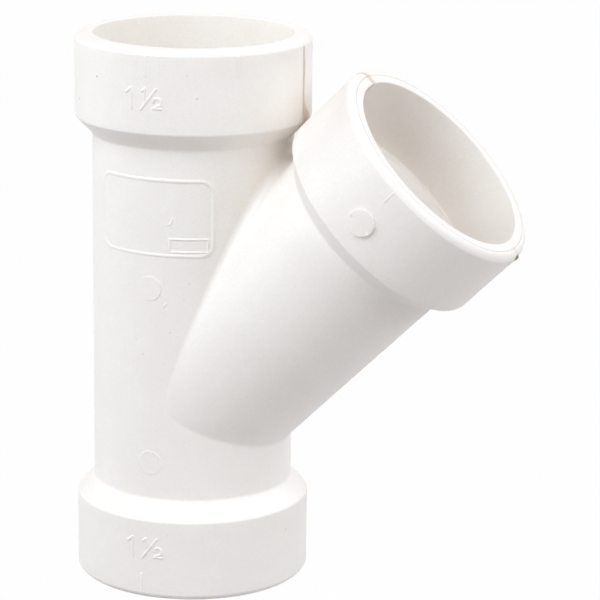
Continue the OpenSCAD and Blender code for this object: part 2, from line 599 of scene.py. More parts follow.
@dataclass
class Skin:
    """A mesh in the making: points, outward directions and triangles."""

    points: list[Array] = field(default_factory=list)
    normals: list[Array] = field(default_factory=list)
    faces: list[Array] = field(default_factory=list)
    count: int = 0

    def add(self, points: Array, normals: Array) -> int:
        """Adds points and gives the number of the first one."""
        first = self.count
        self.points.append(points.reshape(-1, 3))
        self.normals.append(normals.reshape(-1, 3))
        self.count += len(self.points[-1])
        return first

    def bridge(self, rows: Sequence[Array]) -> None:
        """Joins closed rows of points, each as long as the next, with triangles.

        Args:
            rows: Numbers of the points in each row, in order round the strip.
        """
        made = []
        for a, b in zip(rows, rows[1:]):
            a1, b1 = np.roll(a, -1), np.roll(b, -1)
            made += [np.stack([a, a1, b1], -1), np.stack([a, b1, b], -1)]
        faces = np.concatenate(made)
        points, normals = np.concatenate(self.points), np.concatenate(self.normals)
        p = points[faces]
        across = np.cross(p[:, 1] - p[:, 0], p[:, 2] - p[:, 0])
        if np.sum(across * normals[faces[:, 0]]) < 0:
            faces = faces[:, ::-1]
        self.faces.append(faces)

    def piece(self, name: str) -> bpy.types.Object:
        """Makes a smooth Blender object of the skin.

        Args:
            name: Name of the object and of its mesh.

        Returns:
            The object, in metres, with its place in its mesh.
        """
        points = np.concatenate(self.points) * MM
        normals = np.concatenate(self.normals)
        faces = np.concatenate(self.faces)
        used = np.unique(faces)
        renumber = np.zeros(len(points), int)
        renumber[used] = np.arange(len(used))
        mesh = bpy.data.meshes.new(name)
        mesh.from_pydata(points[used].tolist(), [], renumber[faces].tolist())
        mesh.polygons.foreach_set("use_smooth", np.ones(len(faces), bool))
        mesh.normals_split_custom_set_from_vertices(normals[used].tolist())
        mesh.update()
        piece = bpy.data.objects.new(name, mesh)
        bpy.context.scene.collection.objects.link(piece)
        return piece


@dataclass
class Chart:
    """The flat map of one tube: the angle round it, and the way along its section."""

    section: Section
    marks: Sequence[Mark] = ()
    origin: tuple[float, float, float] = (0.0, 0.0, 0.0)
    tilt: float = 0.0
    columns: int = 168
    row_gap: float = 1.7
    scale: float = 26.0
    outside_end: float = 0.0

    def _relief(self, angle: Array, way: Array) -> Array:
        """Height of all marks at some points of the chart, none in the bore."""
        r, z, _ = self.section.at(way)
        total = np.zeros(np.shape(way))
        for mark in self.marks:
            total += mark.height(angle, r, z)
        return total * smooth((self.outside_end - way) / 0.5)

    def roll(self, angle: Array, way: Array) -> tuple[Array, Array]:
        """Rolls points of the chart up into the tube.

        Args:
            angle: Angles round the tube.
            way: Ways along the section.

        Returns:
            Points in the part's frame, and outward directions.
        """
        r, z, heading = self.section.at(way)
        height = self._relief(angle, way)
        eps = 0.01
        around = (self._relief(angle + eps / r, way) - self._relief(angle - eps / r, way)) / (2 * eps)
        along = (self._relief(angle, way + eps) - self._relief(angle, way - eps)) / (2 * eps)
        zero = np.zeros_like(angle)
        out = np.stack([np.cos(angle), np.sin(angle), zero], -1)
        tangent = np.stack([-np.sin(angle), np.cos(angle), zero], -1)
        up = np.array([0.0, 0.0, 1.0])
        ahead = np.cos(heading)[:, None] * out + np.sin(heading)[:, None] * up
        normal = np.sin(heading)[:, None] * out - np.cos(heading)[:, None] * up
        points = r[:, None] * out + z[:, None] * up + height[:, None] * normal
        normal = normal - around[:, None] * tangent - along[:, None] * ahead
        normal /= np.linalg.norm(normal, axis=1)[:, None]
        turn = np.array(Matrix.Rotation(self.tilt, 3, "Y"))
        return points @ turn.T + np.array(self.origin), normal @ turn.T

    def fill(self, skin: Skin, holes: Sequence[Line] = (),
             ends: tuple[Line, Line] | None = None) -> list[Array]:
        """Fills the chart with triangles and adds them to a skin.

        Args:
            skin: The skin to add to.
            holes: Closed lines to leave out, as angles and ways.
            ends: Lines along which an open section starts and stops, as angles and ways.
                None closes the section's end to its start.

        Returns:
            Numbers of the points on each hole, or on the first and last line.
        """
        angles = CUT - FULL_TURN + FULL_TURN * np.arange(self.columns + 1) / self.columns
        rows = self.section.rows(self.row_gap)
        closed = ends is None
        if ends is None:
            ends = ((angles, np.zeros_like(angles)), (angles, np.full_like(angles, rows[-1])))
        (a0, w0), (a1, w1) = ends
        middle_rows = rows[(rows > w0[0] + 0.4) & (rows < w1[0] - 0.4)]
        left = np.stack([np.full_like(middle_rows, angles[0]), middle_rows], -1)
        right = left + [FULL_TURN, 0]
        fixed = [np.stack([a0, w0], -1), np.stack([a1, w1], -1), left, right]
        fixed += [np.stack(h, -1) for h in holes]
        inner = self._inner(angles[1:-1], rows, ends, holes)
        points = np.concatenate(fixed + [inner])
        starts = np.cumsum([0] + [len(f) for f in fixed])
        edges: list[tuple[int, int]] = []
        for k, part in enumerate(fixed):
            if k in (2, 3):
                continue
            ids = starts[k] + np.arange(len(part))
            edges += list(zip(ids[:-1].tolist(), ids[1:].tolist()))
            if k > 3:
                edges.append((int(ids[-1]), int(ids[0])))
        flat = points * [self.scale, 1.0]
        made = delaunay_2d_cdt([Vector(p) for p in flat.tolist()], edges, [], 0, 1e-7)
        source = np.array([o[0] for o in made[3]])
        faces = source[np.array(made[2])]
        faces = faces[self._wanted(points[faces].mean(1), ends, holes)]
        a, b, c = (flat[faces[:, k]] for k in range(3))
        turned = (b - a)[:, 0] * (c - a)[:, 1] < (b - a)[:, 1] * (c - a)[:, 0]
        faces[turned] = faces[turned, ::-1]
        same = np.arange(len(points))
        same[starts[3]:starts[4]] = np.arange(starts[2], starts[3])
        same[starts[1] - 1] = 0
        same[starts[2] - 1] = starts[1]
        if closed:
            same[starts[1]:starts[2]] = same[:starts[1]]
        faces = same[faces]
        first = skin.add(*self.roll(points[:, 0], points[:, 1]))
        skin.faces.append(faces + first)
        if holes:
            return [first + np.arange(starts[k], starts[k + 1]) for k in range(4, len(fixed))]
        return [first + np.arange(0, starts[1] - 1), first + np.arange(starts[1], starts[2] - 1)]

    def _inner(self, angles: Array, rows: Array, ends: tuple[Line, Line],
               holes: Sequence[Line]) -> Array:
        """Points inside the chart: the plain grid, and the marks' own points.

        Args:
            angles: Columns of the plain grid.
            rows: Rows of the plain grid.
            ends: Lines along which the chart starts and stops.
            holes: Closed lines to keep clear of.

        Returns:
            Angles and ways, one row for each point.
        """
        a, w = (m.ravel() for m in np.meshgrid(angles, rows[1:-1]))
        r, z, _ = self.section.at(w)
        free = np.ones(len(a), bool)
        dots = []
        for mark in self.marks:
            free &= ~(mark.claims(a, r, z) & (w <= self.outside_end))
            angle, way = mark.dots(self.section)
            angle = CUT - FULL_TURN + np.mod(angle - CUT, FULL_TURN)
            dots.append(np.stack([angle, way], -1))
        points = np.concatenate([np.stack([a[free], w[free]], -1)] + dots)
        wide = FULL_TURN * self.scale / self.columns
        keep = self._wanted(points, ends, holes)
        for line in ends:
            keep &= self._far(points, line, 0.42 * wide)
        for a, w in holes:
            keep &= self._far(points, (np.append(a, a[0]), np.append(w, w[0])), 0.42 * wide)
        side = np.abs(points[:, 0] - (CUT - math.pi)) < math.pi - 0.3 * wide / self.scale
        return points[keep & side]

    def _far(self, points: Array, line: Line, least: float) -> Array:
        """True for points at least some distance from a line on the chart."""
        a, w = line[0] * self.scale, line[1]
        far = np.ones(len(points), bool)
        x, y = points[:, 0] * self.scale, points[:, 1]
        near = (y > w.min() - least) & (y < w.max() + least)
        near &= (x > a.min() - least) & (x < a.max() + least)
        lines = np.stack([a[:-1], w[:-1], a[1:], w[1:]], -1)
        far[near] = segment_distance(x[near], y[near], lines) > least
        return far

    def _wanted(self, points: Array, ends: tuple[Line, Line], holes: Sequence[Line]) -> Array:
        """True for points between the end lines and outside every hole."""
        a, w = points[:, 0], points[:, 1]
        keep = (w > np.interp(a, *ends[0])) & (w < np.interp(a, *ends[1]))
        for ha, hw in holes:
            inside = np.zeros(len(points), bool)
            for a0, w0, a1, w1 in zip(ha, hw, np.roll(ha, -1), np.roll(hw, -1)):
                spans = (w0 > w) != (w1 > w)
                with np.errstate(divide="ignore", invalid="ignore"):
                    cross = a0 + (w - w0) * (a1 - a0) / (w1 - w0)
                inside ^= spans & (a < cross)
            keep &= ~inside
        return keep


# The fitting's own parts


@dataclass(frozen=True)
class Socket:
    """The sizes that the three sockets share.

    A rim's rounding is as wide as rim_rounding and as deep as rim_drop, and ends in a slight
    crease. Its arc takes up rim_share of the room that these leave.
    """

    outside: float = 57.2
    bore: float = 48.4
    depth: float = 17.5
    length: float = 20.0
    shoulder: float = 4.3
    rim_rounding: float = 2.1
    rim_drop: float = 1.5
    rim_crease: float = 0.15
    rim_share: float = 0.96
    edge_rounding: float = 0.9
    foot_rounding: float = 1.2
    mouth_rounding: float = 0.3
    ledge_rounding: float = 0.35
    ledge_bevel: float = 1.5

    @property
    def flat(self) -> float:
        """Width of the flat part of a rim."""
        return (self.outside - self.bore) / 2 - self.rim_rounding - self.mouth_rounding

    def outer(self, tube: float, rim: float, up: int) -> list[Corner]:
        """Corners of the outside, from the tube to the rim.

        Args:
            tube: Outside diameter of the tube behind the socket.
            rim: Height of the rim.
            up: 1 for a socket that opens upwards, or -1.

        Returns:
            The corners in that order.
        """
        back = rim - up * self.length
        turn = 2 * math.atan2(self.rim_drop, self.rim_rounding)
        meet = self.outside / 2 - self.rim_drop / math.tan(turn)
        arc = self.rim_share * self.rim_rounding / math.sin(turn)
        return [Corner(tube / 2, back - up * self.shoulder, self.foot_rounding),
                Corner(self.outside / 2, back, self.edge_rounding),
                Corner(self.outside / 2, rim - up * self.rim_drop, self.rim_crease),
                Corner(meet, rim, arc)]

    def inner(self, waterway: float, rim: float, up: int) -> list[Corner]:
        """Corners of the bore, from the rim to the waterway.

        Args:
            waterway: Bore of the tube behind the socket.
            rim: Height of the rim.
            up: 1 for a socket that opens upwards, or -1.

        Returns:
            The corners in that order.
        """
        ledge = rim - up * self.depth
        return [Corner(self.bore / 2, rim, self.mouth_rounding),
                Corner(self.bore / 2, ledge, self.ledge_rounding),
                Corner(waterway / 2 + self.ledge_bevel, ledge, self.ledge_rounding),
                Corner(waterway / 2, ledge - up * self.ledge_bevel, self.ledge_rounding)]


@dataclass(frozen=True)
class MarkSizes:
    """The sizes that the raised marks share."""

    proud: float = 0.26
    figure_proud: float = 0.28
    figure: float = 5.5
    stroke: float = 0.5
    tick_proud: float = 0.2
    tick_width: float = 0.5
    tick_length: float = 5.0
    pin: float = 6.0


@dataclass
class StraightRun:
    """The upright tube with a socket at each end."""

    socket: Socket
    sizes: MarkSizes
    length: float = 135.0
    outside: float = 48.9
    waterway: float = 40.9
    upper_figures: float = 11.7
    lower_figures: float = 13.0
    upper_tick: float = 1.6
    side_tick: float = 45.6
    lower_tick: float = -1.0
    frame_width: float = 29.2
    frame_height: float = 18.8
    frame_top: float = 103.7
    box_width: float = 8.8
    box_height: float = 3.5
    box_margin: float = 1.15
    low_pin: float = 33.4
    high_pin: float = 76.9
    pin_shift: float = -0.2
    pin_proud: float = 0.12
    graver_slip: Sequence[tuple[float, float]] = ((5.4, 94.2), (5.35, 93.6), (5.0, 93.0),
                                                  (4.5, 92.75))
    short_slip: Sequence[tuple[float, float]] = ((4.0, 73.5), (3.35, 72.7))

    def section(self) -> Section:
        """The closed section, from the middle of the lower rim round to it again."""
        s = self.socket
        rim = Corner((s.bore + s.outside) / 4, 0.0)
        corners = [rim, *reversed(s.outer(self.outside, 0.0, -1))]
        corners += s.outer(self.outside, self.length, 1)
        corners += s.inner(self.waterway, self.length, 1)
        corners += [*reversed(s.inner(self.waterway, 0.0, -1)), rim]
        return Section(corners)

    def marks(self) -> list[Mark]:
        """Everything raised on the outside of the run."""
        m, s = self.sizes, self.socket
        frame_z = self.frame_top - self.frame_height / 2
        rim = self.length - s.rim_drop
        box_x = self.frame_width / 2 - self.box_margin - self.box_width / 2
        box_z = self.frame_top - self.frame_height + self.box_margin + self.box_height / 2
        bead = dict(proud=m.proud, flank=0.18)
        figures = dict(proud=m.figure_proud, tall=m.figure, stroke=m.stroke, flank=0.14, step=0.1)
        pin = dict(shift=self.pin_shift, wide=m.pin)
        tick = dict(proud=m.tick_proud, wide=m.tick_width)
        upper_tick = dict(tick, low=rim - m.tick_length, high=rim)
        lower_tick = dict(tick, low=s.rim_drop, high=s.rim_drop + m.tick_length)
        top = self.length - s.length - s.shoulder
        over = self.length + Flash.fade
        return [
            SizeFigures(centre=self.length - self.upper_figures, **figures),
            SizeFigures(centre=self.lower_figures, **figures),
            Tick(turn=math.radians(self.upper_tick), **upper_tick),
            Tick(turn=math.radians(self.side_tick), **upper_tick),
            Tick(turn=math.radians(self.lower_tick), **lower_tick),
            BeadRectangle(**bead, centre_z=frame_z, wide=self.frame_width,
                          high=self.frame_height, corner=3.0, bead=0.7, step=0.15,
                          left_share=0.45),
            BeadRectangle(**bead, centre_x=box_x, centre_z=box_z, wide=self.box_width,
                          high=self.box_height, corner=0.25, bead=0.4, step=0.12),
            EjectorDisc(proud=self.pin_proud, centre=self.low_pin, lip=0.06, **pin),
            EjectorDisc(proud=self.pin_proud, centre=self.high_pin, lip=0.02, lean=1.0, **pin),
            Strokes(proud=0.2, stroke=0.4, path=self.graver_slip),
            Strokes(proud=0.12, stroke=0.35, path=self.short_slip),
            Flash(0.0, top - 8, over, ridge=0.24, step=0.3, reach=3.0, wide=0.22,
                  over_rim=s.flat, waves=(0.3, -0.1, 0.5, 0.1, -0.2, 0.3, 0.6, 0.1, -0.3),
                  sinks=(0.0, 0.3, 0.5, 0.8, 0.4, -0.3, -0.2, 0.3, 0.1, -0.5)),
            Flash(0.0, 0.0, s.length + s.shoulder, ridge=0.05, step=0.03),
            Flash(-math.pi, 0.0, over, ridge=0.08, step=0.05, over_rim=s.flat,
                  waves=(0.2, -0.3, 0.4, 0.0, -0.2, 0.3)),
        ]

    def chart(self) -> Chart:
        """The run's chart."""
        section = self.section()
        end = float(section.way_up(np.array([self.length]))[0]) + self.socket.flat
        return Chart(section, self.marks(), outside_end=end)


@dataclass
class Branch:
    """The tube that leaves the run at an angle, with one socket."""

    socket: Socket
    sizes: MarkSizes
    length: float = 89.8
    outside: float = 48.3
    waterway: float = 40.6
    crossing: float = 45.2
    slope_degrees: float = 45.0
    tick_length: float = 3.5
    tick_proud: float = 0.14
    disc: float = 6.5
    disc_drop: float = 12.6
    disc_proud: float = 0.6
    mark_angle: float = 1.0

    @property
    def slope(self) -> float:
        """Angle between the branch and the upper part of the run."""
        return math.radians(self.slope_degrees)

    def section(self) -> Section:
        """The open section, from the crossing up the outside and back down the bore."""
        s = self.socket
        corners = [Corner(self.outside / 2, 0.0), *s.outer(self.outside, self.length, 1)]
        corners += [*s.inner(self.waterway, self.length, 1), Corner(self.waterway / 2, 0.0)]
        return Section(corners)

    def marks(self) -> list[Mark]:
        """Everything raised on the outside of the branch."""
        m, s = self.sizes, self.socket
        rim = self.length - s.rim_drop
        back = self.length - s.length - s.shoulder
        over = self.length + Flash.fade
        turn = math.radians(self.mark_angle)
        return [
            Tick(proud=self.tick_proud, turn=turn, low=rim - self.tick_length, high=rim,
                 wide=m.tick_width),
            EjectorDisc(proud=self.disc_proud + 0.1, turn=turn, wide=self.disc, lip=0.16,
                        lip_width=0.5, centre=self.length - self.disc_drop, flank=0.1, step=0.1),
            Flash(0.0, back - 20, self.length - 0.2, ridge=0.08, step=0.05,
                  waves=(0.1, -0.2, 0.3, 0.0, 0.4)),
            Flash(-math.pi, back + 1, over, ridge=0.1, step=0.05, over_rim=s.flat,
                  waves=(0.1, -0.2, 0.3, 0.0)),
            Nub(0.0, self.length - 0.9, 0.5),
            Nub(-math.pi, self.length - 0.4, 0.12),
            RimLine(s.outside / 2 - s.rim_rounding, self.length),
        ]

    def chart(self) -> Chart:
        """The branch's chart."""
        section = self.section()
        end = float(section.way_up(np.array([self.length]))[0]) + self.socket.flat
        return Chart(section, self.marks(), origin=(0.0, 0.0, self.crossing), tilt=self.slope,
                     outside_end=end)


@dataclass
class NodeBench:
    """Adds nodes to one shader tree and wires them up."""

    tree: bpy.types.NodeTree

    def add(self, kind: str, inputs: dict[str | int, object] | None = None,
            **settings: object) -> bpy.types.Node:
        """Adds a node.

        Args:
            kind: The node's type, less its first word.
            inputs: Values, or sockets to wire in, by the name or number of the input.
            settings: Settings of the node itself.

        Returns:
            The node.
        """
        node = self.tree.nodes.new("ShaderNode" + kind)
        for name, value in settings.items():
            setattr(node, name, value)
        for key, value in (inputs or {}).items():
            if isinstance(value, bpy.types.NodeSocket):
                self.tree.links.new(value, node.inputs[key])
            else:
                node.inputs[key].default_value = value
        return node

    def math(self, operation: str, *inputs: object) -> bpy.types.NodeSocket:
        """The result of one sum."""
        return self.add("Math", dict(enumerate(inputs)), operation=operation).outputs[0]

    def rise(self, value: bpy.types.NodeSocket, start: float, end: float) -> bpy.types.NodeSocket:
        """Eases from 0 where the value is at the start to 1 where it is at the end."""
        inputs = {"Value": value, "From Min": start, "From Max": end}
        node = self.add("MapRange", inputs, interpolation_type="SMOOTHSTEP")
        return node.outputs["Result"]

    def ramp(self, value: bpy.types.NodeSocket,
             stops: Sequence[tuple[float, Sequence[float]]]) -> bpy.types.NodeSocket:
        """The colour that lies at a value between some stops, each a place and a colour."""
        node = self.add("ValToRGB", {"Fac": value})
        ramp = node.color_ramp
        for _ in range(len(stops) - 2):
            ramp.elements.new(0.5)
        for element, (position, colour) in zip(ramp.elements, stops):
            element.position = position
            element.color = (*colour, 1)
        return node.outputs["Color"]

    def stain(self, colour: bpy.types.NodeSocket, tint: Sequence[float],
              share: bpy.types.NodeSocket) -> bpy.types.NodeSocket:
        """A colour with some share of a tint laid over it."""
        inputs = {"Factor": share, "A": colour, "B": (*tint, 1)}
        node = self.add("Mix", inputs, data_type="RGBA", blend_type="MULTIPLY")
        return node.outputs["Result"]


@dataclass(frozen=True)
class SeamShadeAndDirt:
    """Painted shade beside the joint of the mould, with some dirt in the joint itself.

    A brownish painted shade lies behind the joint on the upper socket's right. It stands for the
    shade of the joint's step and of the branch nearby, and is as wide as the widths say at even
    heights from low to high. A dark line lies in the joint itself, partly painted shade and partly
    dirt. The branch's rim has a painted shadow in its lower corner, under the nub where the flash
    was cut off, the dark joint line near it, and painted shade in its fine groove. Sizes are in
    millimetres. A pair of sizes is where the darkening starts and where it is full.
    """

    # Heights and widths of the painted shade behind the joint's step
    low: float = 113.5
    high: float = 134.0
    widths: tuple[float, ...] = (6.5, 5.6, 3.2, 2.0, 1.5, 1.6, 2.2, 2.4, 1.4, 0.0)
    hub_side: tuple[float, float] = (20.0, 22.0)
    # Tint of the painted shade behind the joint's step
    film: tuple[float, float, float] = (0.8, 0.74, 0.66)
    # Tint of the dark joint line, partly painted shade of the step and partly dirt
    joint: tuple[float, float, float] = (0.66, 0.6, 0.51)
    joint_side: float = -0.16
    joint_half: float = 0.36
    # Place, reach and tint of the painted shadow under the nub at the branch rim's lower corner
    corner: tuple[float, float, float] = (83.2, 0.2, 87.5)
    corner_reach: float = 1.4
    nub_shadow_tint: tuple[float, float, float] = (0.3, 0.27, 0.23)
    joint_reach: tuple[float, float] = (3.3, 2.7)
    # Tint, radius, reach and heights of the painted shade in the rim's fine groove
    groove: tuple[float, float, float] = (0.74, 0.72, 0.69)
    groove_r: float = 26.5
    groove_half: float = 0.26
    groove_top: tuple[float, float] = (89.3, 89.6)
    foot: tuple[float, float, float] = (0.0, 0.0, 45.2)
    axis: tuple[float, float, float] = (math.sqrt(0.5), 0.0, math.sqrt(0.5))

    def lay(self, bench: NodeBench, place: bpy.types.NodeSocket,
            colour: bpy.types.NodeSocket) -> bpy.types.NodeSocket:
        """Lays the painted shade and the joint's dirt over a colour.

        Args:
            bench: Maker of the material's nodes.
            place: Place on the part, in millimetres.
            colour: The clean plastic's colour.

        Returns:
            The colour with the painted shade and the joint's dirt on it.
        """
        x, y, z = bench.add("SeparateXYZ", {0: place}).outputs
        widest, last = max(self.widths), len(self.widths) - 1
        up = bench.add("MapRange", {"Value": z, "From Min": self.low, "From Max": self.high})
        stops = [(k / last, [width / widest] * 3) for k, width in enumerate(self.widths)]
        width = bench.math("MULTIPLY", bench.ramp(up.outputs["Result"], stops), widest)
        # Painted shade behind the joint's step, as wide as the widths say, on the upper socket's
        # right
        inside = bench.rise(bench.math("SUBTRACT", width, y), 0.0, 0.5)
        behind = bench.rise(y, 0.0, 0.3)
        tall = bench.math("MULTIPLY", bench.rise(z, self.low, self.low + 1),
                          bench.rise(z, self.high, self.high - 1))
        hub = bench.math("MULTIPLY", tall, bench.rise(x, *self.hub_side))
        painted_step_shade = bench.math("MULTIPLY", bench.math("MULTIPLY", inside, behind), hub)
        colour = bench.stain(colour, self.film, painted_step_shade)
        # The dark joint line, partly painted shade of the step and partly dirt, on the upper socket
        # and near the branch rim's corner
        off = bench.math("ABSOLUTE", bench.math("SUBTRACT", y, self.joint_side))
        line = bench.rise(off, self.joint_half, 0.0)
        # Distance to the nub, for its painted shadow and for the joint line near it
        apart = bench.add("VectorMath", {0: place, 1: self.corner}, operation="DISTANCE")
        corner = bench.rise(apart.outputs["Value"], self.corner_reach, self.corner_reach / 2)
        where = bench.math("MAXIMUM", hub, bench.rise(apart.outputs["Value"], *self.joint_reach))
        colour = bench.stain(colour, self.joint, bench.math("MULTIPLY", line, where))
        # Painted shade in the rim's fine groove
        colour = bench.stain(colour, self.groove, self._groove_shade_share(bench, place))
        # Painted shadow under the nub
        return bench.stain(colour, self.nub_shadow_tint, corner)

    def _groove_shade_share(self, bench: NodeBench, place: bpy.types.NodeSocket) -> bpy.types.NodeSocket:
        """Share of painted shade in the fine groove on the branch's rim."""
        arm = bench.add("VectorMath", {0: place, 1: self.foot}, operation="SUBTRACT").outputs[0]
        along = bench.add("VectorMath", {0: arm, 1: self.axis}, operation="DOT_PRODUCT")
        on_axis = bench.add("VectorMath", {0: self.axis, "Scale": along.outputs["Value"]},
                            operation="SCALE").outputs[0]
        apart = bench.add("VectorMath", {0: arm, 1: on_axis}, operation="DISTANCE").outputs["Value"]
        off = bench.math("ABSOLUTE", bench.math("SUBTRACT", apart, self.groove_r))
        top = bench.rise(along.outputs["Value"], *self.groove_top)
        return bench.math("MULTIPLY", bench.rise(off, self.groove_half, 0.0), top)


@dataclass(frozen=True)
class MouldedPlastic:
    """Satin white rigid plastic as it leaves the mould, with a faint warm tone.

    Scales are features for each millimetre, and the specks' places are in millimetres. Light
    spreads inside it over the depth, in millimetres, as far as the bleed says for each colour.
    """

    light: tuple[float, float, float] = (0.972, 0.929, 0.876)
    dark: tuple[float, float, float] = (0.928, 0.875, 0.812)
    speck: tuple[float, float, float] = (0.48, 0.44, 0.4)
    mottle: float = 0.09
    grain: float = 2.5
    grain_share: float = 2.2
    peel: float = 1.6
    wave: float = 0.05
    smoothest: float = 0.36
    roughest: float = 0.5
    index: float = 1.53
    milky: float = 0.2
    depth: float = 3.0
    bleed: tuple[float, float, float] = (1.0, 0.85, 0.7)
    # Painted shade beside the mould's joint, under the nub and in the rim's groove, with some dirt in
    # the joint line
    seam_shade_and_dirt: SeamShadeAndDirt = field(default_factory=SeamShadeAndDirt)

    def material(self, specks: Sequence[tuple[Array, float]]) -> bpy.types.Material:
        """Builds the material.

        Args:
            specks: Centre and radius of each speck of dirt in the plastic.

        Returns:
            The material.
        """
        material = bpy.data.materials.new("white_moulded_plastic")
        material.use_nodes = True
        shader = material.node_tree.nodes["Principled BSDF"]
        bench = NodeBench(material.node_tree)
        coordinates = bench.add("TexCoord").outputs["Object"]
        here = bench.add("VectorMath", {0: coordinates, "Scale": 1 / MM},
                         operation="SCALE").outputs[0]

        def noise(scale: float, detail: float, rough: float = 0.5) -> bpy.types.NodeSocket:
            """A noise over the part, in features for each millimetre."""
            inputs = {"Vector": here, "Scale": scale, "Detail": detail, "Roughness": rough}
            return bench.add("TexNoise", inputs).outputs["Fac"]

        fine = bench.math("MULTIPLY", bench.math("SUBTRACT", noise(self.grain, 2.0), 0.5),
                          self.grain_share)
        cloud = bench.math("ADD", noise(self.mottle, 4.0, 0.6), fine)
        tone = bench.ramp(cloud, [(0.1, self.dark), (0.9, self.light)])
        # Lays painted shade beside the joint, under the nub and in the rim's groove over the tone,
        # and some dirt in the joint line
        tone = self.seam_shade_and_dirt.lay(bench, here, tone)
        clear: object = 1.0
        for centre, radius in specks:
            inputs = {0: here, 1: [float(c) for c in centre]}
            apart = bench.add("VectorMath", inputs, operation="DISTANCE").outputs["Value"]
            clear = bench.math("MINIMUM", clear, bench.rise(apart, radius * 0.4, radius * 1.5))
        inputs = {"Factor": clear, "A": (*self.speck, 1), "B": tone}
        colour = bench.add("Mix", inputs, data_type="RGBA").outputs["Result"]
        gloss = bench.add("MapRange", {"Value": noise(self.mottle * 4, 5.0, 0.65),
                                       "From Min": 0.3, "From Max": 0.7,
                                       "To Min": self.smoothest, "To Max": self.roughest})
        peel = bench.add("Bump", {"Strength": 0.35, "Distance": 0.02 * MM,
                                  "Height": noise(self.peel, 3.0)})
        wave = bench.add("Bump", {"Strength": 0.5, "Distance": 0.25 * MM,
                                  "Height": noise(self.wave, 1.0), "Normal": peel.outputs[0]})
        links = material.node_tree.links
        links.new(colour, shader.inputs["Base Color"])
        links.new(gloss.outputs["Result"], shader.inputs["Roughness"])
        links.new(wave.outputs["Normal"], shader.inputs["Normal"])
        shader.inputs["IOR"].default_value = self.index
        shader.inputs["Subsurface Weight"].default_value = self.milky
        shader.inputs["Subsurface Radius"].default_value = self.bleed
        shader.inputs["Subsurface Scale"].default_value = self.depth * MM
        return material


@dataclass
class Wye:
    """The whole fitting: the run, the branch and the roundings between them."""

    socket: Socket = field(default_factory=Socket)
    sizes: MarkSizes = field(default_factory=MarkSizes)
    valley_rounding: float = 2.0
    throat_rounding: float = 0.6
    run_outside: float = 48.9
    rim_height: float = 135.0
    finish: MouldedPlastic = field(default_factory=MouldedPlastic)

    def _valleys(self, run: StraightRun, branch: Branch) -> tuple[Valley, Valley]:
        """The rounding outside, and the rounding where the two bores meet."""
        both = dict(crossing=branch.crossing, slope=branch.slope)
        outer = Valley(run.outside / 2, branch.outside / 2, self.valley_rounding,
                       side=Side.OUTSIDE, **both)
        inner = Valley(run.waterway / 2, branch.waterway / 2, self.throat_rounding,
                       side=Side.BORE, **both)
        return outer, inner

    def build(self) -> bpy.types.Object:
        """Builds the fitting's one piece.

        Returns:
            The piece.
        """
        run, branch = StraightRun(self.socket, self.sizes), Branch(self.socket, self.sizes)
        valleys = self._valleys(run, branch)
        skin = Skin()
        run_chart, branch_chart = run.chart(), branch.chart()
        holes = []
        for valley in valleys:
            angle, z = valley.on_run()
            way = run_chart.section.way_up(z)
            if valley is valleys[1]:
                way = self._way_down(run_chart.section, z)
            holes.append((angle[:-1], way[:-1]))
        run_lines = run_chart.fill(skin, holes=holes)
        first = valleys[0].on_branch()
        last = branch_chart.section.length - valleys[1].on_branch()
        branch_lines = branch_chart.fill(
            skin, ends=((valleys[0].angles(), first), (valleys[1].angles(), last)))
        for valley, low, high in zip(valleys, run_lines, branch_lines):
            points, normals = valley.strip()
            rows = [low]
            for row, directions in zip(points, normals):
                start = skin.add(row[:-1], directions[:-1])
                rows.append(start + np.arange(valley.count))
            skin.bridge([*rows, high])
        return skin.piece("wye_body")

    @staticmethod
    def _way_down(section: Section, z: Array) -> Array:
        """Distances along a closed section at which its waterway is at some heights."""
        rows = section.rows(1.0)
        r, heights, _ = section.at(rows)
        down = np.flatnonzero(np.isclose(r, r.min()))
        return np.interp(-z, -heights[down], rows[down])

    def specks(self) -> list[tuple[Array, float]]:
        """Dark specks in the plastic, each first given by its angle from the front."""
        hub, tube = self.socket.outside / 2, self.run_outside / 2
        rows = [(-27.7, 127.0, hub, 0.228), (-46.7, 120.1, hub, 0.163), (26.2, 123.9, hub, 0.153),
                (21.5, 129.3, hub, 0.112), (-3.2, 127.9, hub, 0.092), (77.6, 14.6, hub, 0.145),
                (12.1, 17.0, hub, 0.08), (-8.7, 63.9, tube, 0.085), (-4.7, 60.5, tube, 0.112),
                (11.6, 66.4, tube, 0.121), (22.2, 78.6, tube, 0.119), (19.5, 74.7, tube, 0.08),
                (90.0, self.rim_height, hub - 1.5, 0.16)]
        return [(np.array([r * math.sin(math.radians(a)), -r * math.cos(math.radians(a)), z]), size)
                for a, z, r, size in rows]

    def dress(self, piece: bpy.types.Object) -> None:
        """Gives the piece its finish and its place in the frame."""
        piece.data.materials.append(self.finish.material(self.specks()))
        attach(piece, "root")
        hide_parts("wye_fitting")


# The studio


def away(angle: float, elevation: float) -> Vector:
    """Direction away from the fitting, at some degrees round from its front and above level."""
    az, el = math.radians(angle), math.radians(elevation)
    return Vector((math.sin(az) * math.cos(el), -math.cos(az) * math.cos(el), math.sin(el)))


@dataclass(frozen=True)
class Softbox:
    """A square soft lamp that looks at the fitting.

    Its angle is in degrees round the fitting, 0 in front and 90 to the right.
    """

    name: str
    angle: float
    elevation: float
    wide: float
    power: float
    colour: tuple[float, float, float] = (0.945, 1.09, 1.187)
    distance: float = 1.3
    target: tuple[float, float, float] = (0.028, 0.0, 0.07)

    def hang(self) -> bpy.types.Object:
        """Hangs the lamp in the scene."""
        data = bpy.data.lights.new(self.name, "AREA")
        data.shape = "SQUARE"
        data.size = self.wide
        data.energy = self.power
        data.color = self.colour
        lamp = bpy.data.objects.new(self.name, data)
        back = away(self.angle, self.elevation)
        lamp.location = Vector(self.target) + back * self.distance
        lamp.rotation_euler = back.to_track_quat("Z", "Y").to_euler()
        bpy.context.scene.collection.objects.link(lamp)
        return lamp


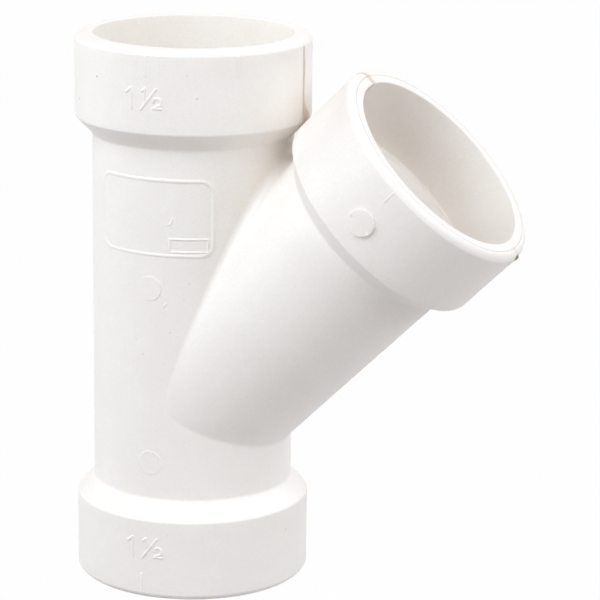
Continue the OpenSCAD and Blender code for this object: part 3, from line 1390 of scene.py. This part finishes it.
@dataclass
class Studio:
    """Camera, lamps, floor and backdrop."""

    azimuth: float = 22.305
    elevation: float = 14.998
    roll: float = 0.694
    distance: float = 0.678498
    focal_pixels: float = 2803.979
    frame_pixels: float = 600.0
    target: tuple[float, float, float] = (0.028405, 0.0, 0.071353)
    film: float = 36.0
    floor_size: float = 8.0
    floor_colour: tuple[float, float, float] = (0.5, 0.5, 0.5)
    floor_white: float = 0.985
    surround: tuple[float, float, float] = (0.167, 0.044, 0.005)
    lamps: tuple[Softbox, ...] = (
        Softbox("key", -20.0, 45.0, 0.9, 11.4),
        Softbox("right", 82.0, 30.0, 0.7, 4.8),
        Softbox("right_low", 100.0, 14.0, 0.5, 1.7),
        Softbox("right_behind", 130.0, 38.0, 0.7, 2.8),
        Softbox("left", -90.0, 12.0, 0.6, 2.7),
        Softbox("behind", 180.0, 45.0, 0.7, 2.7),
        Softbox("behind_low", 155.0, 20.0, 0.6, 1.0),
        Softbox("front_left", -50.0, 20.0, 0.6, 2.1),
        Softbox("front_right", 40.0, 20.0, 0.7, 1.3),
    )

    def place_camera(self) -> None:
        """Puts the camera where the photograph was taken from."""
        az, roll = math.radians(self.azimuth), math.radians(self.roll)
        back = away(self.azimuth, self.elevation)
        right = Vector((math.cos(az), math.sin(az), 0.0))
        up = back.cross(right)
        across = math.cos(roll) * right + math.sin(roll) * up
        upward = -math.sin(roll) * right + math.cos(roll) * up
        data = bpy.data.cameras.new("camera")
        data.sensor_width = self.film
        data.lens = self.focal_pixels / self.frame_pixels * self.film
        data.clip_start, data.clip_end = 0.01, 50.0
        camera = bpy.data.objects.new("camera", data)
        turn = Matrix((across, upward, back)).transposed().to_4x4()
        camera.matrix_world = Matrix.Translation(Vector(self.target) + back * self.distance) @ turn
        bpy.context.scene.collection.objects.link(camera)
        bpy.context.scene.camera = camera

    @staticmethod
    def _seen_white(tree: bpy.types.NodeTree, share: float) -> bpy.types.NodeSocket:
        """A socket that is a given share for the rays that see the backdrop, and 0 for others."""
        bench = NodeBench(tree)
        path = bench.add("LightPath")
        total: object = 0.0
        for ray in Ray:
            total = bench.math("MAXIMUM", total, path.outputs[ray.value])
        return bench.math("MULTIPLY", total, share)

    def paint_world(self) -> None:
        """Lights the scene softly from all round, before a plain white background."""
        world = bpy.data.worlds.new("surround")
        world.use_nodes = True
        tree = world.node_tree
        glow = tree.nodes["Background"]
        glow.inputs["Color"].default_value = (*self.surround, 1)
        glow.inputs["Strength"].default_value = 1.0
        white = tree.nodes.new("ShaderNodeBackground")
        white.inputs["Color"].default_value = (1, 1, 1, 1)
        white.inputs["Strength"].default_value = 1.0
        mix = tree.nodes.new("ShaderNodeMixShader")
        tree.links.new(self._seen_white(tree, 1.0), mix.inputs["Fac"])
        tree.links.new(glow.outputs[0], mix.inputs[1])
        tree.links.new(white.outputs[0], mix.inputs[2])
        tree.links.new(mix.outputs[0], tree.nodes["World Output"].inputs["Surface"])
        bpy.context.scene.world = world

    def lay_floor(self) -> bpy.types.Object:
        """Lays a pale floor that keeps a soft shadow.

        Returns:
            The floor.
        """
        half = self.floor_size / 2
        mesh = bpy.data.meshes.new("floor")
        corners = [(-half, -half, 0), (half, -half, 0), (half, half, 0), (-half, half, 0)]
        mesh.from_pydata(corners, [], [(0, 1, 2, 3)])
        floor = bpy.data.objects.new("floor", mesh)
        bpy.context.scene.collection.objects.link(floor)
        material = bpy.data.materials.new("floor_paper")
        material.use_nodes = True
        tree = material.node_tree
        shader = tree.nodes["Principled BSDF"]
        shader.inputs["Base Color"].default_value = (*self.floor_colour, 1)
        shader.inputs["Roughness"].default_value = 0.9
        shader.inputs["Specular IOR Level"].default_value = 0.0
        white = tree.nodes.new("ShaderNodeEmission")
        mix = tree.nodes.new("ShaderNodeMixShader")
        tree.links.new(self._seen_white(tree, self.floor_white), mix.inputs["Fac"])
        tree.links.new(shader.outputs[0], mix.inputs[1])
        tree.links.new(white.outputs[0], mix.inputs[2])
        tree.links.new(mix.outputs[0], tree.nodes["Material Output"].inputs["Surface"])
        mesh.materials.append(material)
        return floor

    def set_up(self) -> None:
        """Sets up the whole studio."""
        bpy.context.scene.view_settings.view_transform = "Standard"
        self.place_camera()
        self.paint_world()
        self.lay_floor()
        for lamp in self.lamps:
            lamp.hang()


def main() -> None:
    """Builds the fitting and the studio."""
    logging.basicConfig(level=logging.INFO, format="%(name)s: %(message)s")
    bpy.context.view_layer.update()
    wye = Wye()
    piece = wye.build()
    wye.dress(piece)
    log.info("%s: %d points, %d triangles", piece.name, len(piece.data.vertices),
             len(piece.data.polygons))
    Studio().set_up()


if __name__ == "__main__":
    main()
